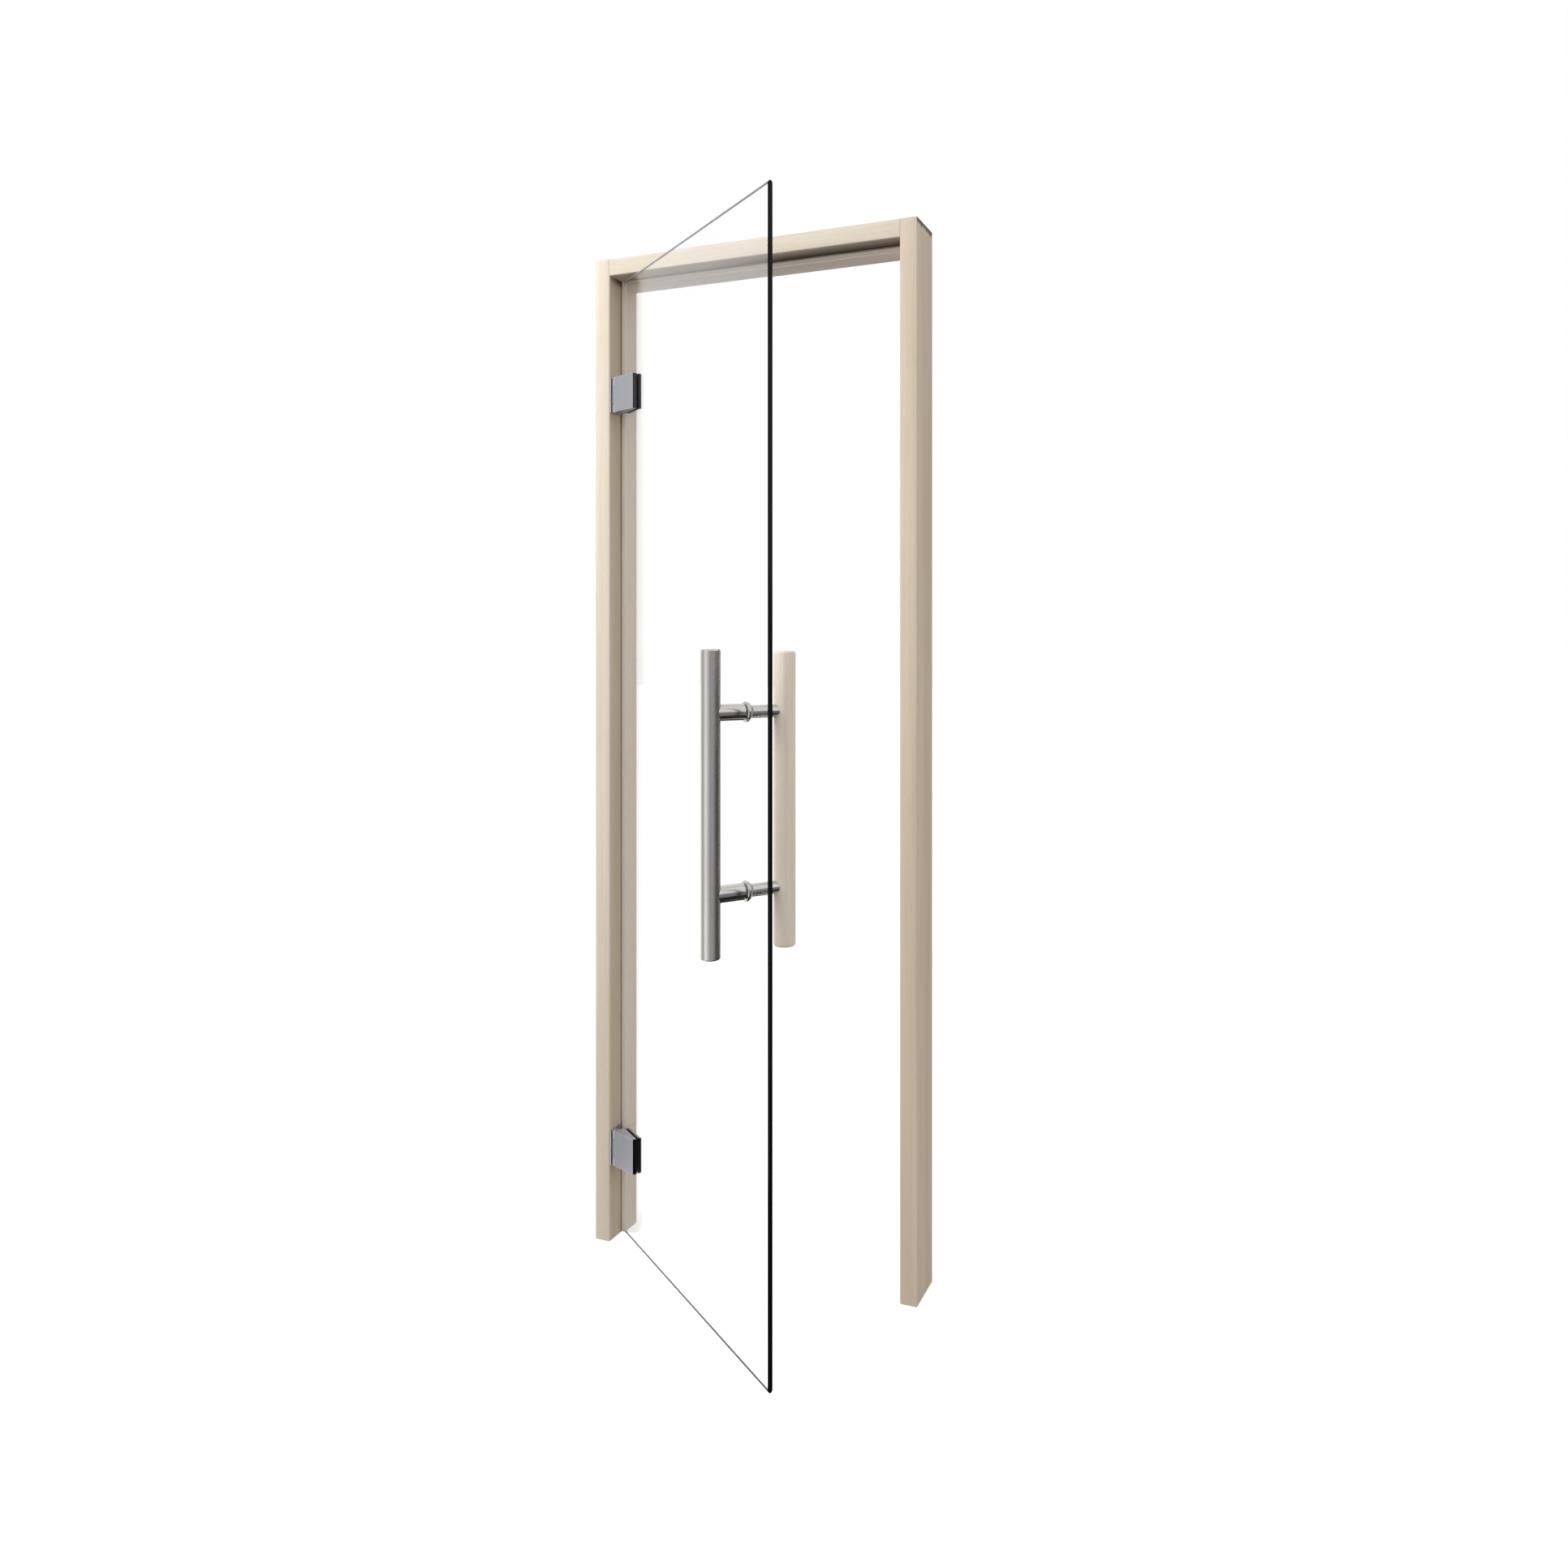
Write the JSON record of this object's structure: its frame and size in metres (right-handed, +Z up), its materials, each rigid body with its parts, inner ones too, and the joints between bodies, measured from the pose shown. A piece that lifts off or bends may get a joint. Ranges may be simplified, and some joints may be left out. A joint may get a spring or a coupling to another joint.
{
  "type": "sauna door",
  "caption": "Timber-framed sauna door with a frameless glass leaf on clamp hinges and a bar handle, steel outside and wood inside.",
  "frame": {"origin": "On the outer side face of the hinge jamb, at floor level and at the middle of the frame's depth.", "axes": "+Z up, +X across the doorway from the hinge jamb to the strike jamb, -Y towards the side that the leaf opens to."},
  "size_m": [0.69, 0.4524, 1.99],
  "materials": {
    "timber": "pale planed aspen, unvarnished",
    "grip_timber": "pale turned aspen, sanded",
    "seal": "beige silicone strip",
    "glass": "clear toughened glass with polished edges",
    "hinge_metal": "satin silver",
    "steel": "brushed stainless steel",
    "screw_metal": "bright steel",
    "rubber": "black rubber pad",
    "washer": "pale clear plastic"
  },
  "bodies": {
    "frame": {"hinge_jamb": "timber", "strike_jamb": "timber", "head": "timber", "seal_hinge_side": "seal", "seal_strike_side": "seal", "seal_head": "seal", "upper_hinge_bracket": "hinge_metal", "upper_hinge_wall_screw_low": "screw_metal", "upper_hinge_wall_screw_high": "screw_metal", "upper_hinge_pin": "screw_metal", "lower_hinge_bracket": "hinge_metal", "lower_hinge_wall_screw_low": "screw_metal", "lower_hinge_wall_screw_high": "screw_metal", "lower_hinge_pin": "screw_metal"},
    "leaf": {"glass_leaf": "glass", "steel_grip": "steel", "wood_grip": "grip_timber", "upper_hinge_front_clamp": "hinge_metal", "upper_hinge_rear_plate": "hinge_metal", "upper_hinge_outer_gasket": "rubber", "upper_hinge_inner_gasket": "rubber", "upper_hinge_clamp_screw_low": "screw_metal", "upper_hinge_clamp_screw_high": "screw_metal", "upper_grip_cap": "steel", "upper_collar": "steel", "upper_outer_post": "steel", "upper_inner_post": "steel", "upper_stud": "screw_metal", "upper_outer_washer": "washer", "upper_inner_washer": "washer", "lower_hinge_front_clamp": "hinge_metal", "lower_hinge_rear_plate": "hinge_metal", "lower_hinge_outer_gasket": "rubber", "lower_hinge_inner_gasket": "rubber", "lower_hinge_clamp_screw_low": "screw_metal", "lower_hinge_clamp_screw_high": "screw_metal", "lower_grip_cap": "steel", "lower_collar": "steel", "lower_outer_post": "steel", "lower_inner_post": "steel", "lower_stud": "screw_metal", "lower_outer_washer": "washer", "lower_inner_washer": "washer"}
  },
  "joints": [
    {"name": "leaf_hinge", "type": "hinge", "parent": "frame", "child": "leaf", "pos_m": [0.043, -0.039, 0.9465], "axis": [0, 0, -1], "range_deg": [-35.4, 59.6]}
  ]
}
